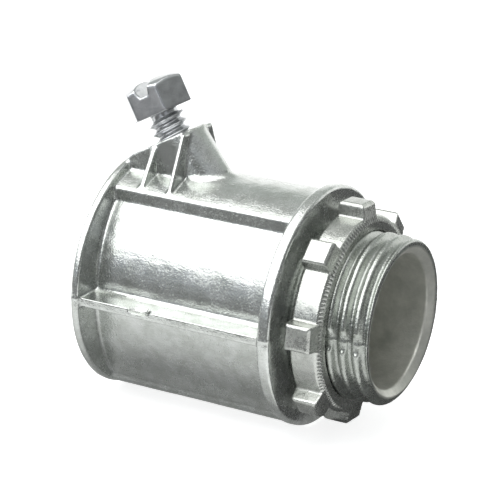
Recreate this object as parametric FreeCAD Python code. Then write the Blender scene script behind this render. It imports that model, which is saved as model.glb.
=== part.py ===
"""Half-inch set-screw conduit connector: die-cast body, set screw and locknut.

Frame: origin at the centre of the shoulder face, +X out of the threaded nipple along the
common axis, +Z towards the set-screw boss. The mould's parting plane is z = 0.
"""
import FreeCAD, Part
import math
import os

V = FreeCAD.Vector
ORIGIN = V(0, 0, 0)
X_AXIS = V(1, 0, 0)
Y_AXIS = V(0, 1, 0)
Z_AXIS = V(0, 0, 1)

# ---- body casting ----
FLANGE_R = 15.1          # both end flanges
BODY_LEN = 27.7          # conduit entry face to shoulder face
ENTRY_FLANGE_T = 1.05
SHOULDER_T = 1.6
BARREL_HALF = 11.0       # the barrel's half width at the parting plane
RIB_R = 14.5             # outer radius of the side ribs
RIB_T = 1.1              # side ribs, just below the parting plane
TOP_PAD_R = 14.1
TOP_PAD_HALF = 6.85
TOP_LEDGE_Z = 10.65      # where the barrel's flank meets the top pad's wall
BOTTOM_PAD_R = 14.95
BOTTOM_PAD_HALF = 7.0
BOTTOM_LEDGE_Z = -12.2
ROOT_FILLET = 0.6
RIM_ROUND = 0.3
PAD_ROUND = 0.4

# ---- bores ----
SOCKET_R = 9.15          # takes a half-inch EMT conduit, 17.93 mm outside
SOCKET_STOP_X = -4.6     # the conduit stops here
THROAT_R = 8.4
ENTRY_CHAMFER = 0.5

# ---- threaded nipple, half-inch trade size, 14 threads per inch ----
NIPPLE_LEN = 10.4
NIPPLE_PITCH = 25.4 / 14
NIPPLE_MAJOR_R = 10.45
NIPPLE_ROOT_R = 9.6
NIPPLE_CREST_W = 0.5
MOUTH_R = 9.25           # wide inner chamfer at the mouth
MOUTH_DEPTH = 0.75
FLASH_FLAT = 0.35        # the thread is lower where the mould halves meet
THREAD_START = 0.4       # the thread's start on the nipple

# ---- set screw, number 10, 24 threads per inch ----
SCREW_TILT = 29.0        # degrees from the radial direction, head leaning to the entry
SCREW_X = -22.3          # where the axis leaves the boss's top face
SCREW_Z = 18.0
SCREW_PITCH = 25.4 / 24
SCREW_MAJOR_R = 2.38
SCREW_ROOT_R = 1.78
SCREW_CREST_W = 0.16
SCREW_PHASE = 0.3        # the thread's phase along the axis
SCREW_LEN = 12.0         # under the head
SCREW_OUT = 3.3          # head's underside above the boss's top face
HEAD_FLATS = 7.3
HEAD_H = 4.4             # to the top of the domed crown
HEAD_TURN = 9.5          # degrees, the slot's angle about the screw's axis
SLOT_W = 1.7
SLOT_DEPTH = 1.8
SCREW_CORE_R = 1.1
SCREW_CORE_LEN = 9.0

# ---- boss ----
BOSS_HALF = 3.3
BOSS_CORNER = (-18.77, 18.93)    # centre of the rounding at the top face's front end
BOSS_ROUND = 0.9
FIN_T = 0.65
FIN_1_X = -23.1
FIN_2_X = -19.05
FIN_FOOT_Y = 6.7
FIN_FOOT_Z = 12.2

# ---- locknut ----
NUT_BACK_X = 1.4
NUT_T = 3.9
NUT_FLOOR_R = 12.3
LUG_R = 14.0
LUG_W = 3.3
LUG_COUNT = 8
LUG_PHASE = 177.0        # degrees, one lug's centre from +Y towards +Z
NUT_CORE_IN_R = 11.05
NUT_CORE_OUT_R = 11.75
NUT_CORE_T = 0.8

THREAD_GAP = 0.06        # between mating threads, on radius and flank
CORE_GAP = 0.02          # around the turning pieces' plain cores
EMBED = 0.05             # how far a thread's ridge is sunk into its core
SLOPE_60 = math.tan(math.radians(30))


def revolve_x(points):
    """Full turn about X of a closed profile given as (x, radius) pairs."""
    corners = [V(x, 0, r) for x, r in points]
    face = Part.Face(Part.makePolygon(corners + corners[:1]))
    return face.revolve(ORIGIN, X_AXIS, 360)


def arc(cx, cr, radius, start, end, steps=6):
    """Points of a rounded corner about (cx, cr), angles in degrees from +X."""
    out = []
    for i in range(steps + 1):
        a = math.radians(start + (end - start) * i / steps)
        out.append((cx + radius * math.cos(a), cr + radius * math.sin(a)))
    return out


def box(x0, x1, y0, y1, z0, z1):
    return Part.makeBox(x1 - x0, y1 - y0, z1 - z0, V(x0, y0, z0))


def rod_x(radius, x0, x1):
    return Part.makeCylinder(radius, x1 - x0, V(x0, 0, 0), X_AXIS)


def rod_z(radius, z0, z1):
    return Part.makeCylinder(radius, z1 - z0, V(0, 0, z0), Z_AXIS)


def helical_sweep(pitch, z0, z1, inner, half_in, outer, half_out):
    """Right-hand helical bar about Z, a trapezoid between two radii with given half-widths."""
    start = [V(inner, 0, z0 - half_in), V(outer, 0, z0 - half_out),
             V(outer, 0, z0 + half_out), V(inner, 0, z0 + half_in)]
    profile = Part.makePolygon(start + start[:1])
    helix = Part.Wire(Part.makeHelix(pitch, z1 - z0, (inner + outer) / 2).Edges)
    helix.translate(V(0, 0, z0))
    return helix.makePipeShell([profile], True, True)


def half_width(radius, crest_r, crest_w):
    """Half the axial width of a 60 degree thread's ridge at a given radius."""
    return crest_w / 2 + (crest_r - radius) * SLOPE_60


def outer_thread(pitch, z0, z1, root_r, crest_r, crest_w):
    """Ridge of an external thread."""
    inner = root_r - EMBED
    return helical_sweep(pitch, z0, z1, inner, half_width(inner, crest_r, crest_w),
                         crest_r, crest_w / 2)


def inner_thread(pitch, z0, z1, root_r, crest_r, crest_w, gap):
    """Ridge of the matching internal thread, standing inwards from the groove's floor."""
    tip = root_r + gap
    base = crest_r + gap + EMBED
    half_tip = pitch / 2 - half_width(tip, crest_r, crest_w) - gap
    half_base = pitch / 2 - half_width(base, crest_r, crest_w) - gap
    return helical_sweep(pitch, z0 + pitch / 2, z1 + pitch / 2, tip, half_tip, base, half_base)


def along_x(shape):
    """Turn a shape built about Z so that its axis lies on X."""
    shape.rotate(ORIGIN, Y_AXIS, 90)
    return shape


def on_screw_axis(shape):
    """Put a shape built about Z, z = 0 at the boss's top face, on the slanted screw axis."""
    shape.rotate(ORIGIN, Y_AXIS, -SCREW_TILT)
    shape.translate(V(SCREW_X, 0, SCREW_Z))
    return shape


def turned_shell():
    """Flanges, barrel core and nipple core as one turned shape with rounded rims."""
    x_in = -BODY_LEN
    q = RIM_ROUND
    pts = [(x_in, SOCKET_R - 1), (x_in, FLANGE_R - q)]
    pts += arc(x_in + q, FLANGE_R - q, q, 180, 90, 3)
    left = x_in + ENTRY_FLANGE_T
    pts += arc(left - q, FLANGE_R - q, q, 90, 0, 3)
    pts += [(left, SOCKET_R + 1), (-SHOULDER_T, SOCKET_R + 1)]
    pts += arc(-SHOULDER_T + q, FLANGE_R - q, q, 180, 90, 3)
    pts += arc(-q * 1.5, FLANGE_R - q * 1.5, q * 1.5, 90, 0, 4)
    pts += [(0, NIPPLE_ROOT_R + 0.25), (0.25, NIPPLE_ROOT_R)]
    pts += [(NIPPLE_LEN - 0.3, NIPPLE_ROOT_R), (NIPPLE_LEN, NIPPLE_ROOT_R - 0.15)]
    pts += [(NIPPLE_LEN, THROAT_R - 1), (x_in, THROAT_R - 1)]
    return revolve_x(pts)


def bores():
    """Everything open along the axis: socket, stop, throat and the mouth's chamfer."""
    x_in = -BODY_LEN
    return revolve_x([(x_in - 1, 0), (x_in - 1, SOCKET_R + ENTRY_CHAMFER + 1),
                      (x_in + ENTRY_CHAMFER, SOCKET_R), (SOCKET_STOP_X, SOCKET_R),
                      (SOCKET_STOP_X, THROAT_R), (NIPPLE_LEN - MOUTH_DEPTH, THROAT_R),
                      (NIPPLE_LEN, MOUTH_R), (NIPPLE_LEN + 1, MOUTH_R + 1.1),
                      (NIPPLE_LEN + 1, 0)])


def flank(y, z):
    """Arc from the parting plane to a pad's wall, upright where it leaves the plane."""
    radius = ((BARREL_HALF - y) ** 2 + z ** 2) / (2 * (BARREL_HALF - y))
    half = math.asin(z / radius) / 2
    centre = BARREL_HALF - radius
    middle = V(0, centre + radius * math.cos(half), radius * math.sin(half))
    return [V(0, BARREL_HALF, 0), middle, V(0, y, z)]


def mirrored(points):
    return [V(p.x, -p.y, p.z) for p in points]


def barrel_section():
    """Outline across the barrel: bowed flanks between a round-backed top and bottom pad."""
    top_z = math.sqrt(TOP_PAD_R ** 2 - TOP_PAD_HALF ** 2)
    low_z = -math.sqrt(BOTTOM_PAD_R ** 2 - BOTTOM_PAD_HALF ** 2)
    top = V(0, TOP_PAD_HALF, top_z)
    low = V(0, BOTTOM_PAD_HALF, low_z)
    upper = flank(TOP_PAD_HALF, TOP_LEDGE_Z)
    lower = flank(BOTTOM_PAD_HALF, BOTTOM_LEDGE_Z)
    arcs = [[mirrored([top])[0], V(0, 0, TOP_PAD_R), top], upper, lower, mirrored(upper),
            mirrored(lower), [mirrored([low])[0], V(0, 0, -BOTTOM_PAD_R), low]]
    edges = [Part.Arc(*three).toShape() for three in arcs]
    for a, b in ((top, upper[2]), (low, lower[2])):
        edges.append(Part.makeLine(a, b))
        edges.append(Part.makeLine(*mirrored([a, b])))
    return Part.Face(Part.Wire(Part.sortEdges(edges)[0]))


def edges_along(solid, y, z):
    """Edges that run along X through (+-y, z)."""
    found = []
    for edge in solid.Edges:
        p = edge.valueAt((edge.FirstParameter + edge.LastParameter) / 2)
        near = math.hypot(abs(p.y) - y, p.z - z) < 0.08
        if near and edge.BoundBox.XLength > BODY_LEN / 2:
            found.append(edge)
    return found


def ribbed_barrel():
    """Barrel between the flanges with its pads and side ribs."""
    x0 = -BODY_LEN + ENTRY_FLANGE_T / 2
    x1 = -SHOULDER_T / 2
    section = barrel_section()
    section.translate(V(x0, 0, 0))
    solid = section.extrude(V(x1 - x0, 0, 0))
    ribs = rod_x(RIB_R, x0, x1).common(box(x0, x1, -RIB_R, RIB_R, -RIB_T, 0))
    solid = solid.fuse(ribs).removeSplitter()
    for half, radius, side in ((TOP_PAD_HALF, TOP_PAD_R, 1), (BOTTOM_PAD_HALF, BOTTOM_PAD_R, -1)):
        z = side * math.sqrt(radius ** 2 - half ** 2)
        solid = solid.makeFillet(PAD_ROUND, edges_along(solid, half, z))
    roots = edges_along(solid, BARREL_HALF, 0) + edges_along(solid, BARREL_HALF, -RIB_T)
    return solid.makeFillet(ROOT_FILLET, roots)


def nose_outline(z, centre, length):
    """Plan outline of the boss at one height: straight sides and an elliptical nose."""
    h = BOSS_HALF
    back = -BODY_LEN + 0.5
    nose = []
    for i in range(13):
        a = math.radians(-90 + 15 * i)
        nose.append(V(centre + length * math.cos(a), h * math.sin(a), z))
    curve = Part.BSplineCurve()
    curve.interpolate(nose)
    corners = [V(back, -h, z), V(back, h, z)]
    return Part.Wire([Part.makeLine(corners[0], nose[0]), curve.toShape(),
                      Part.makeLine(nose[-1], corners[1]), Part.makeLine(corners[1], corners[0])])


def boss_top(x):
    """Height of the boss's slanted top face."""
    return SCREW_Z + (x - SCREW_X) * math.tan(math.radians(SCREW_TILT))


def boss_side():
    """Side view of the boss: slanted top face with a rounded front corner."""
    back = -BODY_LEN + 0.5
    corner = arc(*BOSS_CORNER, BOSS_ROUND, 90 + SCREW_TILT, 39)
    outline = [(back, 9), (back, FLANGE_R - 0.3), (-26.3, boss_top(-26.3))] + corner
    outline += [(-10, 18.5), (-10, 9)]
    pts = [V(x, -BOSS_HALF - 1, z) for x, z in outline]
    face = Part.Face(Part.makePolygon(pts + pts[:1]))
    return face.extrude(V(0, 2 * BOSS_HALF + 2, 0))


def fin(x):
    """Thin gusset across the boss, sloping from its top edge down to the pad's edges."""
    half = [(FIN_FOOT_Y, 11.0), (FIN_FOOT_Y, FIN_FOOT_Z), (BOSS_HALF + 0.1, boss_top(x) - 0.3)]
    pts = [V(x, -y, z) for y, z in half] + [V(x, y, z) for y, z in reversed(half)]
    plate = Part.Face(Part.makePolygon(pts + pts[:1])).extrude(V(FIN_T, 0, 0))
    plate.translate(V(-FIN_T / 2, 0, 0))
    return plate


def build_boss():
    nose = Part.makeLoft([nose_outline(9.5, -18.2, 8.3), nose_outline(21.0, -22.1, 2.8)], True, True)
    return nose.common(boss_side()).multiFuse([fin(FIN_1_X), fin(FIN_2_X)])


def screw_hole():
    """Plain hole to the floor of the screw's thread, from the boss's top face into the socket."""
    hole = rod_z(SCREW_MAJOR_R + THREAD_GAP, -12.5, 3)
    mouth = Part.makeCone(SCREW_MAJOR_R, SCREW_MAJOR_R + 0.3, 0.4, V(0, 0, -0.3), Z_AXIS)
    return on_screw_axis(hole.fuse(mouth))


def hole_thread():
    """The hole's thread, faded out at the top face and clear of the socket."""
    floor = SCREW_MAJOR_R + THREAD_GAP + EMBED
    ridge = inner_thread(SCREW_PITCH, SCREW_PHASE - 12 * SCREW_PITCH, SCREW_PHASE,
                         SCREW_ROOT_R, SCREW_MAJOR_R, SCREW_CREST_W, THREAD_GAP)
    lead = Part.Face(Part.makePolygon([
        V(1, 0, -12), V(floor + 0.2, 0, -12), V(floor + 0.2, 0, -0.4), V(floor, 0, -0.4),
        V(SCREW_ROOT_R, 0, -1.0), V(1, 0, -1.0), V(1, 0, -12)]))
    ridge = on_screw_axis(ridge.common(lead.revolve(ORIGIN, Z_AXIS, 360)))
    return ridge.cut(rod_x(SOCKET_R + 0.2, -BODY_LEN - 5, 0))


def nipple_ridge():
    """The nipple's thread: chamfered at the tip and flattened along the parting line."""
    ridge = along_x(outer_thread(NIPPLE_PITCH, THREAD_START, THREAD_START + 6 * NIPPLE_PITCH,
                                 NIPPLE_ROOT_R, NIPPLE_MAJOR_R, NIPPLE_CREST_W))
    tip = NIPPLE_LEN
    over = NIPPLE_MAJOR_R + 0.1
    envelope = revolve_x([(0.35, 8.8), (0.35, NIPPLE_ROOT_R), (1.3, over),
                          (tip - 0.8, over), (tip, NIPPLE_MAJOR_R - 0.45), (tip, 8.8)])
    flat = NIPPLE_MAJOR_R - FLASH_FLAT
    strip = box(0, tip + 1, flat, 12, -1.2, 1.2).fuse(box(0, tip + 1, -12, -flat, -1.2, 1.2))
    return ridge.common(envelope).cut(strip)


def build_body():
    body = turned_shell().multiFuse([ribbed_barrel(), build_boss(), nipple_ridge()])
    return body.cut(bores()).cut(screw_hole()).fuse(hole_thread())


def screw_thread():
    z1 = SCREW_OUT - 0.6
    z0 = SCREW_PHASE + SCREW_PITCH * math.floor((SCREW_OUT - SCREW_LEN - SCREW_PHASE) / SCREW_PITCH)
    ridge = outer_thread(SCREW_PITCH, z0, z1, SCREW_ROOT_R, SCREW_MAJOR_R, SCREW_CREST_W)
    tip = SCREW_OUT - SCREW_LEN
    lead = Part.Face(Part.makePolygon([
        V(1, 0, tip + 0.05), V(SCREW_ROOT_R, 0, tip + 0.05), V(SCREW_MAJOR_R + 0.1, 0, tip + 0.85),
        V(SCREW_MAJOR_R + 0.1, 0, z1), V(1, 0, z1), V(1, 0, tip + 0.05)]))
    return ridge.common(lead.revolve(ORIGIN, Z_AXIS, 360))


def screw_head():
    """Hexagon head with a domed crown and a driver slot from flat to flat."""
    corner = HEAD_FLATS / 2 / math.cos(math.radians(30))
    turns = [math.radians(30 + 60 * i) for i in range(6)]
    pts = [V(corner * math.sin(a), corner * math.cos(a), 0) for a in turns]
    prism = Part.Face(Part.makePolygon(pts + pts[:1])).extrude(V(0, 0, HEAD_H))
    top = HEAD_H
    dome = Part.Face(Part.makePolygon([
        V(0, 0, 0), V(corner - 0.2, 0, 0), V(corner + 0.1, 0, 0.2), V(corner + 0.1, 0, top - 1.1),
        V(corner - 0.2, 0, top - 0.85), V(corner - 0.9, 0, top - 0.48), V(corner - 1.9, 0, top - 0.16),
        V(corner - 3.0, 0, top), V(0, 0, top), V(0, 0, 0)])).revolve(ORIGIN, Z_AXIS, 360)
    half = SLOT_W / 2
    outline = [(-half - 0.15, top + 0.5), (-half, top - 1.0), (-half + 0.3, top - SLOT_DEPTH),
               (half - 0.3, top - SLOT_DEPTH), (half, top - 1.0), (half + 0.15, top + 0.5)]
    pts = [V(x, -corner - 1, z) for x, z in outline]
    slot = Part.Face(Part.makePolygon(pts + pts[:1])).extrude(V(0, 2 * corner + 2, 0))
    head = prism.common(dome).cut(slot)
    head.rotate(ORIGIN, Z_AXIS, HEAD_TURN)
    head.translate(V(0, 0, SCREW_OUT))
    return head


def build_screw():
    """Set screw: head, shank and thread, with a bore for its plain core."""
    tip = SCREW_OUT - SCREW_LEN
    shank = rod_z(SCREW_ROOT_R, tip + 0.3, SCREW_OUT + 0.2)
    point = Part.makeCone(SCREW_ROOT_R - 0.3, SCREW_ROOT_R, 0.3, V(0, 0, tip), Z_AXIS)
    solid = screw_head().multiFuse([shank, point, screw_thread()])
    solid = solid.cut(rod_z(SCREW_CORE_R + CORE_GAP, tip - 1, tip + SCREW_CORE_LEN + CORE_GAP))
    return on_screw_axis(solid)


def build_screw_core():
    """Plain pin in the middle of the shank: it travels with the screw without turning."""
    tip = SCREW_OUT - SCREW_LEN
    return on_screw_axis(rod_z(SCREW_CORE_R, tip, tip + SCREW_CORE_LEN))


def lug(angle):
    """One driving lug with bevelled front corners, built at +Y and turned about X."""
    h = LUG_W / 2
    back = NUT_BACK_X
    front = NUT_BACK_X + NUT_T
    pts = [V(back, NUT_FLOOR_R - 0.8, -h), V(back, LUG_R - 0.35, -h), V(back + 0.35, LUG_R, -h),
           V(front - 0.85, LUG_R, -h), V(front - 0.5, LUG_R - 0.35, -h),
           V(front - 0.2, NUT_FLOOR_R - 0.3, -h), V(front - 0.3, NUT_FLOOR_R - 0.8, -h)]
    block = Part.Face(Part.makePolygon(pts + pts[:1])).extrude(V(0, 0, LUG_W))
    ends = [e for e in block.Edges if e.BoundBox.XLength > NUT_T / 2
            and e.BoundBox.YLength < 0.01 and e.valueAt(e.FirstParameter).y > NUT_FLOOR_R]
    block = block.makeFillet(0.45, ends)
    block.rotate(ORIGIN, X_AXIS, angle)
    return block


def nut_ring():
    """Plain ring of the nut, bored to the thread's floor, with a narrow front land."""
    back = NUT_BACK_X
    front = NUT_BACK_X + NUT_T
    floor = NIPPLE_MAJOR_R + THREAD_GAP
    return revolve_x([(back, floor), (back, NUT_FLOOR_R - 0.2), (back + 0.2, NUT_FLOOR_R),
                      (front - 0.55, NUT_FLOOR_R), (front - 0.1, NUT_FLOOR_R - 0.6),
                      (front, NUT_FLOOR_R - 0.75), (front, floor + 0.1), (front - 0.1, floor)])


def nut_thread():
    """The nut's thread, faded out by a lead chamfer at both faces."""
    back = NUT_BACK_X
    front = NUT_BACK_X + NUT_T
    tip = NIPPLE_ROOT_R
    floor = NIPPLE_MAJOR_R + THREAD_GAP + EMBED
    ridge = along_x(inner_thread(NIPPLE_PITCH, THREAD_START - NIPPLE_PITCH, THREAD_START + 3 * NIPPLE_PITCH,
                                 NIPPLE_ROOT_R, NIPPLE_MAJOR_R, NIPPLE_CREST_W, THREAD_GAP))
    lead = revolve_x([(back + 0.02, floor + 0.2), (back + 0.02, floor - 0.1), (back + 0.8, tip),
                      (front - 0.8, tip), (front - 0.02, floor - 0.1), (front - 0.02, floor + 0.2)])
    return ridge.common(lead)


def build_nut():
    lugs = [lug(LUG_PHASE + i * 360 / LUG_COUNT) for i in range(LUG_COUNT)]
    solid = nut_ring().multiFuse(lugs + [nut_thread()])
    seat = rod_x(NUT_CORE_OUT_R + CORE_GAP, 0, NUT_BACK_X + NUT_CORE_T + CORE_GAP)
    seat = seat.cut(rod_x(NUT_CORE_IN_R - CORE_GAP, -1, 5))
    return solid.cut(seat)


def build_nut_core():
    """Plain ring let into the nut's back face: it travels with the nut without turning."""
    ring = rod_x(NUT_CORE_OUT_R, NUT_BACK_X, NUT_BACK_X + NUT_CORE_T)
    return ring.cut(rod_x(NUT_CORE_IN_R, 0, 5))


def main():
    os.makedirs("parts", exist_ok=True)
    nodes = {
        "connector_body": build_body(),
        "set_screw": build_screw(),
        "set_screw_core": build_screw_core(),
        "locknut": build_nut(),
        "locknut_core": build_nut_core(),
    }
    for name, shape in nodes.items():
        print(name, shape.isValid(), len(shape.Solids), round(shape.Volume, 1))
        shape.exportStep("parts/" + name + ".step")


main()
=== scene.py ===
import math

import bmesh
import bpy
import numpy as np
from mathutils import Matrix, Vector


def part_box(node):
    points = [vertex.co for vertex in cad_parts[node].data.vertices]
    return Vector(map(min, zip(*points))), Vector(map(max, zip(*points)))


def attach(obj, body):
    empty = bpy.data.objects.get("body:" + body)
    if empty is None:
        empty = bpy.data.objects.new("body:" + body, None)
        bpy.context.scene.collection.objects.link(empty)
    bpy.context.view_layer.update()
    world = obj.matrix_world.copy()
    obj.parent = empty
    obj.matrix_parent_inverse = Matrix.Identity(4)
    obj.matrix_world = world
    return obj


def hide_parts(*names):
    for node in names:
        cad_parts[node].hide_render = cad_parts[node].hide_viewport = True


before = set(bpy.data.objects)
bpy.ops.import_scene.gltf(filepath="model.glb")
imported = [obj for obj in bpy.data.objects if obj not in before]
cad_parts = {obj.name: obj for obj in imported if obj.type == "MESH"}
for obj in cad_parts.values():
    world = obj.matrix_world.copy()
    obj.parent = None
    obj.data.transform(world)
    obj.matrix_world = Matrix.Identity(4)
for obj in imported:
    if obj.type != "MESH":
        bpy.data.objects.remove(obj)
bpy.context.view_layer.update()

MM = 0.001
FLOOR_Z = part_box("connector_body")[0][2]

# ---------- places in millimetres ----------
SCREW_TILT = math.radians(29)
HEAD_FOOT = 29.9         # the screw head's underside, measured along the screw's axis
ENTRY_FLANGE_X = -26.6   # close to the inner faces of the two end flanges
FRONT_FLANGE_X = -1.65
BARREL_TOP_R = 14.2      # where the flange's root rounding ends and the boss's nose stands
NOSE_X = -13.6
NIPPLE_X = 0.5           # just past the shoulder face
THREAD_R = 9.2           # below the thread's root
FLASH_R = 9.3            # the parting flash shows outside this radius
NOTCH_X, NOTCH_Y = -18.2, -14.6
NOTCH_DEPTH = 0.6
RIB_EDGE_Y = -12.4       # the near side rib lies beyond this
NUT_EDGE_X, NUT_EDGE_R = 5.12, 11.8
NUT_SIDE_R = 12.0
TEETH = 144              # beads round the locknut's front edge
BORE_R = 0.0093          # in metres: the bore's finish ends here


# ---------- surface noise used for the castings' uneven skin ----------
def lattice(seed):
    return np.random.default_rng(seed).random((32, 32, 32)) * 2 - 1


def value_noise(points, size, seed):
    """Smooth noise in -1..1 at points in millimetres, with cells of the given size."""
    grid = lattice(seed)
    q = points / size + 11.3
    base = np.floor(q).astype(int)
    t = q - base
    t = t * t * (3 - 2 * t)
    total = np.zeros(len(points))
    for dx in (0, 1):
        for dy in (0, 1):
            for dz in (0, 1):
                w = np.abs(1 - dx - t[:, 0]) * np.abs(1 - dy - t[:, 1]) * np.abs(1 - dz - t[:, 2])
                cell = (base + (dx, dy, dz)) % 32
                total += w * grid[cell[:, 0], cell[:, 1], cell[:, 2]]
    return total


def bump_at(value, centre, width):
    """Smooth hump of height 1 centred on a value."""
    return np.exp(-((value - centre) / width) ** 2)


# ---------- fine meshes ----------
def fine_mesh(node, name, voxel, rounds):
    """A closed fine mesh of a CAD node with its edges softened as a casting's are."""
    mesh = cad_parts[node].data.copy()
    bm = bmesh.new()
    bm.from_mesh(mesh)
    bmesh.ops.remove_doubles(bm, verts=bm.verts, dist=2e-7)
    bm.to_mesh(mesh)
    bm.free()
    mesh.materials.clear()
    obj = bpy.data.objects.new(name, mesh)
    bpy.context.scene.collection.objects.link(obj)
    remesh = obj.modifiers.new("remesh", "REMESH")
    remesh.mode = "VOXEL"
    remesh.voxel_size = voxel * MM
    remesh.adaptivity = 0
    soft = obj.modifiers.new("soft", "SMOOTH")
    soft.factor = 0.5
    soft.iterations = rounds
    bpy.context.view_layer.update()
    done = bpy.data.meshes.new_from_object(obj.evaluated_get(bpy.context.evaluated_depsgraph_get()))
    obj.modifiers.clear()
    obj.data = done
    done.shade_smooth()
    return obj


def read_mesh(obj):
    """Vertex positions in millimetres and vertex normals."""
    n = len(obj.data.vertices)
    co = np.empty(n * 3)
    no = np.empty(n * 3)
    obj.data.vertices.foreach_get("co", co)
    obj.data.vertices.foreach_get("normal", no)
    return co.reshape(-1, 3) / MM, no.reshape(-1, 3)


def write_mesh(obj, co):
    obj.data.vertices.foreach_set("co", (co * MM).ravel())
    obj.data.update()


def push(obj, co, no, amount):
    """Move vertices along their normals by an amount in millimetres."""
    write_mesh(obj, co + no * amount[:, None])


def melt(obj, co, weight, rounds):
    """Relax the mesh where weight is above zero, which rounds inner and outer corners there."""
    edges = np.empty(len(obj.data.edges) * 2, dtype=int)
    obj.data.edges.foreach_get("vertices", edges)
    a, b = edges.reshape(-1, 2).T
    pick = (weight[a] > 0) & (weight[b] > 0)
    a, b = a[pick], b[pick]
    count = np.bincount(a, minlength=len(co)) + np.bincount(b, minlength=len(co))
    use = (weight * 0.6 * (count > 2))[:, None]
    share = np.maximum(count, 1)[:, None]
    for _ in range(rounds):
        total = np.stack([np.bincount(a, co[b, k], len(co)) + np.bincount(b, co[a, k], len(co))
                          for k in range(3)], axis=1)
        co = co * (1 - use) + total / share * use
    return co


def window(value, inner, outer):
    """1 up to the inner distance, falling to 0 at the outer one."""
    return np.clip((outer - np.abs(value)) / (outer - inner), 0, 1)


def notch(co):
    """Shallow scallop in the outer upper edge of the near side rib."""
    reach = ((co[:, 0] - NOTCH_X) / 1.6) ** 2 + ((co[:, 1] - NOTCH_Y) / 1.4) ** 2
    depth = np.sqrt(np.clip(1 - reach, 0, 1)) * NOTCH_DEPTH
    on_rib = (co[:, 1] < RIB_EDGE_Y) & (co[:, 2] > -depth) & (co[:, 2] < 0.5) & (depth > 0)
    co[:, 2] = np.where(on_rib, -depth, co[:, 2])
    return co


def body_skin(obj):
    """Cast unevenness, soft roots and thread, and the flash left along the parting plane."""
    co, no = read_mesh(obj)
    r = np.hypot(co[:, 1], co[:, 2])
    roots = np.maximum(window(co[:, 0] - ENTRY_FLANGE_X, 0.3, 0.6),
                       window(co[:, 0] - FRONT_FLANGE_X, 0.3, 0.7))
    co = melt(obj, co, roots * np.clip((BARREL_TOP_R - r) / 0.5, 0, 1) * (r > 10), 9)
    nose = window(r - BARREL_TOP_R, 0.35, 0.8) * window(co[:, 1], 4.2, 5.0)
    nose = nose * window(co[:, 0] - NOSE_X, 4.2, 5.0)
    co = melt(obj, co, nose * (co[:, 2] > 0), 60)
    thread = np.clip((co[:, 0] - NIPPLE_X) / 0.4, 0, 1) * np.clip((r - THREAD_R) / 0.2, 0, 1)
    co = melt(obj, co, thread, 3)
    write_mesh(obj, notch(co))
    co, no = read_mesh(obj)
    r = np.hypot(co[:, 1], co[:, 2])
    outward = (co[:, 1] * no[:, 1] + co[:, 2] * no[:, 2]) / np.maximum(r, 1)
    amount = value_noise(co, 3.1, 1) * 0.022 + value_noise(co, 0.9, 2) * 0.008
    ragged = 0.75 + 0.5 * value_noise(co, 0.8, 5)
    flash = bump_at(co[:, 2], 0.0, 0.13) * ragged * 0.1 * (r > FLASH_R)
    amount += np.where(outward > 0.3, flash, 0)
    amount += np.where((no[:, 0] > 0.7) & (co[:, 0] < NIPPLE_X), flash * 0.6, 0)
    push(obj, co, no, amount)


def nut_skin(obj):
    """Beaded serration round the front edge and a rougher cast skin between the lugs."""
    co, no = read_mesh(obj)
    r = np.hypot(co[:, 1], co[:, 2])
    angle = np.arctan2(co[:, 2], co[:, 1])
    rim = bump_at(co[:, 0], NUT_EDGE_X, 0.24) * bump_at(r, NUT_EDGE_R, 0.32)
    amount = rim * (np.abs(np.sin(angle * TEETH / 2)) * 0.3 - 0.16)
    side = np.clip((r - NUT_SIDE_R) / 0.4, 0, 1)
    amount += value_noise(co, 0.55, 7) * 0.012 * side + value_noise(co, 1.9, 8) * 0.025
    push(obj, co, no, amount)


def screw_skin(obj):
    """Rounded edges on the cold-formed head and a slight unevenness all over."""
    co, no = read_mesh(obj)
    along = co[:, 2] * math.cos(SCREW_TILT) - co[:, 0] * math.sin(SCREW_TILT)
    co = melt(obj, co, np.clip((along - HEAD_FOOT) / 0.3, 0, 1), 14)
    write_mesh(obj, co)
    co, no = read_mesh(obj)
    push(obj, co, no, value_noise(co, 1.2, 12) * 0.008)


# ---------- materials ----------
def node_graph(name):
    material = bpy.data.materials.new(name)
    material.use_nodes = True
    nodes = material.node_tree.nodes
    nodes.clear()
    shader = nodes.new("ShaderNodeBsdfPrincipled")
    out = nodes.new("ShaderNodeOutputMaterial")
    material.node_tree.links.new(shader.outputs[0], out.inputs[0])
    return material, nodes, material.node_tree.links, shader


def noise_node(nodes, links, coords, scale, detail, rough):
    """Noise in object space; scale is in cells per metre."""
    node = nodes.new("ShaderNodeTexNoise")
    node.inputs["Scale"].default_value = scale
    node.inputs["Detail"].default_value = detail
    node.inputs["Roughness"].default_value = rough
    links.new(coords.outputs["Object"], node.inputs["Vector"])
    return node


def ramp_node(nodes, links, source, stops):
    ramp = nodes.new("ShaderNodeValToRGB")
    while len(ramp.color_ramp.elements) < len(stops):
        ramp.color_ramp.elements.new(0.5)
    for element, (place, colour) in zip(ramp.color_ramp.elements, stops):
        element.position = place
        element.color = (*colour, 1) if len(colour) == 3 else (colour[0],) * 3 + (1,)
    links.new(source, ramp.inputs[0])
    return ramp


def mix_node(nodes, links, kind, factor, a, b):
    mix = nodes.new("ShaderNodeMix")
    mix.data_type = "RGBA"
    mix.blend_type = kind
    for socket, value in (("Factor", factor), ("A", a), ("B", b)):
        target = next(s for s in mix.inputs if s.name == socket and s.enabled)
        if isinstance(value, bpy.types.NodeSocket):
            links.new(value, target)
        else:
            target.default_value = value
    return next(s for s in mix.outputs if s.enabled)


def bump_node(nodes, links, height, distance, below=None):
    """Bump of a given height in metres, laid over another bump's normal."""
    bump = nodes.new("ShaderNodeBump")
    bump.inputs["Strength"].default_value = 1.0
    bump.inputs["Distance"].default_value = distance
    links.new(height, bump.inputs["Height"])
    if below:
        links.new(below.outputs[0], bump.inputs["Normal"])
    return bump


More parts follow.
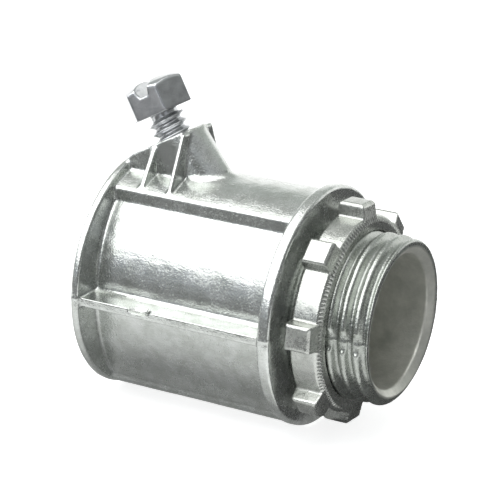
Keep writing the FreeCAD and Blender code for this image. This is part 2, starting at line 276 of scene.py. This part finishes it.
def inside_mask(nodes, links, split, radius):
    """1 near the common axis, as in the bore, and 0 outside the given radius in metres."""
    flat = nodes.new("ShaderNodeCombineXYZ")
    links.new(split.outputs["Y"], flat.inputs["Y"])
    links.new(split.outputs["Z"], flat.inputs["Z"])
    length = nodes.new("ShaderNodeVectorMath")
    length.operation = "LENGTH"
    links.new(flat.outputs[0], length.inputs[0])
    scaled = nodes.new("ShaderNodeMath")
    scaled.operation = "MULTIPLY"
    scaled.inputs[1].default_value = 0.5 / radius
    links.new(length.outputs["Value"], scaled.inputs[0])
    return ramp_node(nodes, links, scaled.outputs[0], [(0.495, (1.0,)), (0.515, (0.0,))]).outputs[0]


def thread_mask(nodes, links, split):
    """1 on the nipple, beyond the shoulder face, where the finish is duller."""
    scaled = nodes.new("ShaderNodeMath")
    scaled.operation = "MULTIPLY"
    scaled.inputs[1].default_value = 100
    links.new(split.outputs["X"], scaled.inputs[0])
    return ramp_node(nodes, links, scaled.outputs[0], [(0.02, (0.0,)), (0.06, (1.0,))]).outputs[0]


def zinc_colour(nodes, links, coords, inside, thread, light, dark):
    """Mottled tarnish, painted shade darkening the corners, duller on the thread and in the bore."""
    cloud = noise_node(nodes, links, coords, 520, 6, 0.62)
    tone = ramp_node(nodes, links, cloud.outputs[0], [(0.36, dark), (0.62, light)])
    geometry = nodes.new("ShaderNodeNewGeometry")
    # painted shade: the colour is darkened where the surface is hollow, in corners and roots
    hollow_shade = ramp_node(nodes, links, geometry.outputs["Pointiness"],
                     [(0.43, (0.5,)), (0.49, (0.96,)), (0.56, (1.0,))])
    colour = mix_node(nodes, links, "MULTIPLY", 1.0, tone.outputs[0], hollow_shade.outputs[0])
    dull = mix_node(nodes, links, "MULTIPLY", 1.0, colour, (0.7, 0.71, 0.69, 1))
    colour = mix_node(nodes, links, "MIX", thread, colour, dull)
    bore = ramp_node(nodes, links, cloud.outputs[0],
                     [(0.3, (0.44, 0.45, 0.41)), (0.7, (0.62, 0.62, 0.57))])
    return mix_node(nodes, links, "MIX", inside, colour, bore.outputs[0])


def zinc_finish(nodes, links, coords, inside, thread, rough):
    """Frosty speckle in larger patches, rougher on the thread and in the bore."""
    speckle = noise_node(nodes, links, coords, 2600, 3, 0.7)
    frost = ramp_node(nodes, links, speckle.outputs[0],
                      [(0.35, (rough * 0.75,)), (0.55, (rough,)), (0.75, (rough * 1.7,))])
    patch = noise_node(nodes, links, coords, 420, 3, 0.5)
    spread = ramp_node(nodes, links, patch.outputs[0], [(0.4, (0.7,)), (0.65, (1.0,))])
    finish = mix_node(nodes, links, "MULTIPLY", 1.0, frost.outputs[0], spread.outputs[0])
    rougher = mix_node(nodes, links, "ADD", 1.0, finish, (0.07, 0.07, 0.07, 1))
    finish = mix_node(nodes, links, "MIX", thread, finish, rougher)
    return mix_node(nodes, links, "MIX", inside, finish, (0.42, 0.42, 0.42, 1))


def zinc_relief(nodes, links, coords, grain, wave):
    """Fine crystals over the slow swell of a cast surface; heights in metres."""
    swell = noise_node(nodes, links, coords, 380, 2, 0.5)
    crystals = noise_node(nodes, links, coords, 4300, 2, 0.6)
    coarse = bump_node(nodes, links, swell.outputs[0], wave)
    return bump_node(nodes, links, crystals.outputs[0], grain, coarse).outputs[0]


def cast_zinc(name, light, dark, rough, grain, wave):
    """Bright die-cast zinc, duller in the bore and on the thread."""
    material, nodes, links, shader = node_graph(name)
    coords = nodes.new("ShaderNodeTexCoord")
    split = nodes.new("ShaderNodeSeparateXYZ")
    links.new(coords.outputs["Object"], split.inputs[0])
    inside = inside_mask(nodes, links, split, BORE_R)
    thread = thread_mask(nodes, links, split)
    colour = zinc_colour(nodes, links, coords, inside, thread, light, dark)
    links.new(colour, shader.inputs["Base Color"])
    metal = ramp_node(nodes, links, inside, [(0.0, (0.9,)), (1.0, (0.7,))])
    links.new(metal.outputs[0], shader.inputs["Metallic"])
    finish = zinc_finish(nodes, links, coords, inside, thread, rough)
    links.new(finish, shader.inputs["Roughness"])
    links.new(zinc_relief(nodes, links, coords, grain, wave), shader.inputs["Normal"])
    return material


def plated_steel(name):
    """Zinc-plated steel of the screw: smoother and bluer, with painted shade darkening the thread's
    roots.
    """
    material, nodes, links, shader = node_graph(name)
    coords = nodes.new("ShaderNodeTexCoord")
    shader.inputs["Metallic"].default_value = 0.95
    cloud = noise_node(nodes, links, coords, 700, 4, 0.6)
    tone = ramp_node(nodes, links, cloud.outputs[0],
                     [(0.35, (0.52, 0.53, 0.54)), (0.65, (0.60, 0.61, 0.62))])
    geometry = nodes.new("ShaderNodeNewGeometry")
    # painted shade: the colour is darkened in the thread's roots and other hollows
    hollow_shade = ramp_node(nodes, links, geometry.outputs["Pointiness"],
                     [(0.42, (0.35,)), (0.49, (0.95,)), (0.56, (1.0,))])
    colour = mix_node(nodes, links, "MULTIPLY", 1.0, tone.outputs[0], hollow_shade.outputs[0])
    links.new(colour, shader.inputs["Base Color"])
    grit = noise_node(nodes, links, coords, 3000, 3, 0.6)
    frost = ramp_node(nodes, links, grit.outputs[0], [(0.35, (0.16,)), (0.7, (0.26,))])
    links.new(frost.outputs[0], shader.inputs["Roughness"])
    links.new(bump_node(nodes, links, grit.outputs[0], 0.000004).outputs[0], shader.inputs["Normal"])
    return material


BODY_ZINC = cast_zinc("body_zinc_cast", (0.62, 0.64, 0.62), (0.50, 0.52, 0.49), 0.26, 0.00003, 0.00004)
# painted light: the locknut's zinc is lighter than the body's to stand in for the softbox light its
# faces catch
NUT_ZINC = cast_zinc("nut_zinc_cast", (0.76, 0.77, 0.75), (0.60, 0.61, 0.59), 0.25, 0.00003, 0.00006)
SCREW_STEEL = plated_steel("screw_plated_steel")


def dress(node, name, body, voxel, rounds, skin, material):
    """Stand a fine finished piece in for a CAD node."""
    obj = fine_mesh(node, name, voxel, rounds)
    skin(obj)
    obj.data.materials.append(material)
    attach(obj, body)
    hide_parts(node)
    return obj


dress("connector_body", "cast_body", "connector", 0.17, 3, body_skin, BODY_ZINC)
dress("locknut", "cast_locknut", "nut", 0.12, 2, nut_skin, NUT_ZINC)
dress("set_screw", "steel_set_screw", "screw", 0.07, 2, screw_skin, SCREW_STEEL)
for node, material in (("locknut_core", NUT_ZINC), ("set_screw_core", SCREW_STEEL)):
    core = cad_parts[node]
    core.data.materials.clear()
    core.data.materials.append(material)


# ---------- floor, light and camera ----------
def make_floor():
    bm = bmesh.new()
    bmesh.ops.create_grid(bm, x_segments=1, y_segments=1, size=1.5)
    mesh = bpy.data.meshes.new("floor")
    bm.to_mesh(mesh)
    bm.free()
    floor = bpy.data.objects.new("floor", mesh)
    floor.location.z = FLOOR_Z - 0.00002
    bpy.context.scene.collection.objects.link(floor)
    material, nodes, links, shader = node_graph("floor_white")
    shader.inputs["Base Color"].default_value = (0.7, 0.7, 0.7, 1)
    shader.inputs["Roughness"].default_value = 0.9
    shader.inputs["Emission Color"].default_value = (1, 1, 1, 1)
    shader.inputs["Emission Strength"].default_value = 0.75
    mesh.materials.append(material)


def make_world():
    """Pale studio, darker on the camera's side near the horizon."""
    world = bpy.data.worlds.new("studio")
    bpy.context.scene.world = world
    world.use_nodes = True
    nodes = world.node_tree.nodes
    links = world.node_tree.links
    background = nodes["Background"]
    coords = nodes.new("ShaderNodeTexCoord")
    split = nodes.new("ShaderNodeSeparateXYZ")
    links.new(coords.outputs["Generated"], split.inputs[0])
    front = ramp_node(nodes, links, split.outputs["Z"],
                      [(0.0, (0.26, 0.28, 0.31)), (0.25, (0.34, 0.36, 0.39)), (0.6, (0.36, 0.37, 0.38)),
                       (1.0, (0.4, 0.4, 0.4))])
    back = ramp_node(nodes, links, split.outputs["Z"],
                     [(0.0, (0.95, 0.95, 0.95)), (0.3, (0.95, 0.96, 0.95)), (0.45, (0.36, 0.39, 0.37)),
                      (1.0, (0.4, 0.4, 0.4))])
    side = ramp_node(nodes, links, split.outputs["Y"], [(0.0, (0.0,)), (0.3, (1.0,))])
    mixed = mix_node(nodes, links, "MIX", side.outputs[0], front.outputs[0], back.outputs[0])
    links.new(mixed, background.inputs["Color"])
    background.inputs["Strength"].default_value = 1.5


def paint_card(shader, nodes, links, tone):
    """One grey all over, or a list of (y in mm, grey) that also glows a little; the list paints the
    piece's shadow on the floor, darkest close under it, and the glow is painted light.
    """
    if isinstance(tone, float):
        shader.inputs["Base Color"].default_value = (tone, tone, tone, 1)
        return
    coords = nodes.new("ShaderNodeTexCoord")
    split = nodes.new("ShaderNodeSeparateXYZ")
    links.new(coords.outputs["Object"], split.inputs[0])
    across = nodes.new("ShaderNodeMath")
    across.operation = "MULTIPLY_ADD"
    across.inputs[1].default_value = 10
    across.inputs[2].default_value = 0.5
    links.new(split.outputs["Y"], across.inputs[0])
    # painted shadow: grey by y across the card, dark close under the piece, with a glow standing in for
    # the lit floor
    fade = ramp_node(nodes, links, across.outputs[0], [(0.5 + y / 100, (t,)) for y, t in tone])
    links.new(fade.outputs[0], shader.inputs["Base Color"])
    links.new(fade.outputs[0], shader.inputs["Emission Color"])
    shader.inputs["Emission Strength"].default_value = 0.55


def make_card(name, corners, tone):
    """A grey card that only reflections see; corners are in millimetres above the floor."""
    bm = bmesh.new()
    bm.faces.new([bm.verts.new(Vector(c) * MM) for c in corners])
    mesh = bpy.data.meshes.new(name)
    bm.to_mesh(mesh)
    bm.free()
    card = bpy.data.objects.new(name, mesh)
    card.location.z = FLOOR_Z
    bpy.context.scene.collection.objects.link(card)
    material, nodes, links, shader = node_graph(name + "_paint")
    paint_card(shader, nodes, links, tone)
    shader.inputs["Roughness"].default_value = 1.0
    shader.inputs["Specular IOR Level"].default_value = 0.0
    mesh.materials.append(material)
    card.visible_camera = False
    card.visible_diffuse = False
    card.visible_shadow = False


def area_light(name, place, aim, size, radiance, reflected=True, diffuse=True):
    """Softbox of a given radiance, seen by reflections, by diffuse surfaces, or both."""
    data = bpy.data.lights.new(name, "AREA")
    data.shape = "RECTANGLE"
    data.size, data.size_y = size
    data.energy = radiance * math.pi * size[0] * size[1]
    light = bpy.data.objects.new(name, data)
    light.location = place
    light.rotation_euler = (Vector(aim) - Vector(place)).to_track_quat("-Z", "Y").to_euler()
    light.visible_glossy = reflected
    light.visible_diffuse = diffuse
    bpy.context.scene.collection.objects.link(light)


def make_camera():
    """Long lens a little above the axis, on the nipple's side."""
    az, el, roll = map(math.radians, (28.5, 18.8, 1.87))
    distance, shift_right, shift_up = 0.2718, -0.00941, 0.00686
    back = Vector((math.sin(az) * math.cos(el), -math.cos(az) * math.cos(el), math.sin(el)))
    right = Vector((math.cos(az), math.sin(az), 0))
    up = back.cross(right)
    right, up = (right * math.cos(roll) + up * math.sin(roll),
                 up * math.cos(roll) - right * math.sin(roll))
    data = bpy.data.cameras.new("camera")
    data.sensor_width = 36
    data.lens = 159.26
    data.clip_start, data.clip_end = 0.01, 10
    camera = bpy.data.objects.new("camera", data)
    camera.matrix_world = Matrix((
        (right.x, up.x, back.x, 0), (right.y, up.y, back.y, 0), (right.z, up.z, back.z, 0),
        (0, 0, 0, 1)))
    camera.location = back * distance + right * shift_right + up * shift_up
    bpy.context.scene.collection.objects.link(camera)
    bpy.context.scene.camera = camera


make_floor()
make_world()
area_light("key", (-0.17, -0.25, 0.38), (-0.01, 0, 0), (0.75, 0.72), 3.0, diffuse=False)
area_light("top", (0.10, 0.05, 0.6), (0, 0, 0), (0.35, 0.25), 1.6, diffuse=False)
area_light("fill", (-0.1, -0.1, 0.9), (0, 0, 0), (0.9, 0.9), 1.45, reflected=False)
make_card("flag_behind", [(2, -11, 0.3), (260, -11, 0.3), (260, 260, 0.3), (2, 260, 0.3)], 0.1)
make_card("flag_front", [(-400, -500, 0.3), (400, -500, 0.3), (400, -46, 0.3), (-400, -46, 0.3)], 0.22)
make_card("flag_right", [(300, -260, 0), (300, 330, 0), (300, 330, 240), (300, -260, 240)], 0.14)
make_card("flag_corner", [(40, -300, 0), (300, -300, 0), (300, -300, 150), (40, -300, 150)], 0.14)
# painted shadow: a glowing card under the piece that reflections see as the floor darkened in the
# piece's own shadow
make_card("shade", [(-90, -40, 0.3), (2, -40, 0.3), (2, 40, 0.3), (-90, 40, 0.3)],
          [(-40, 1.0), (-25, 0.72), (-15, 0.5), (-10, 0.22), (-4, 0.4), (4, 0.4), (10, 0.22),
           (15, 0.5), (25, 0.72), (40, 1.0)])
make_camera()
bpy.context.scene.view_settings.view_transform = "Standard"
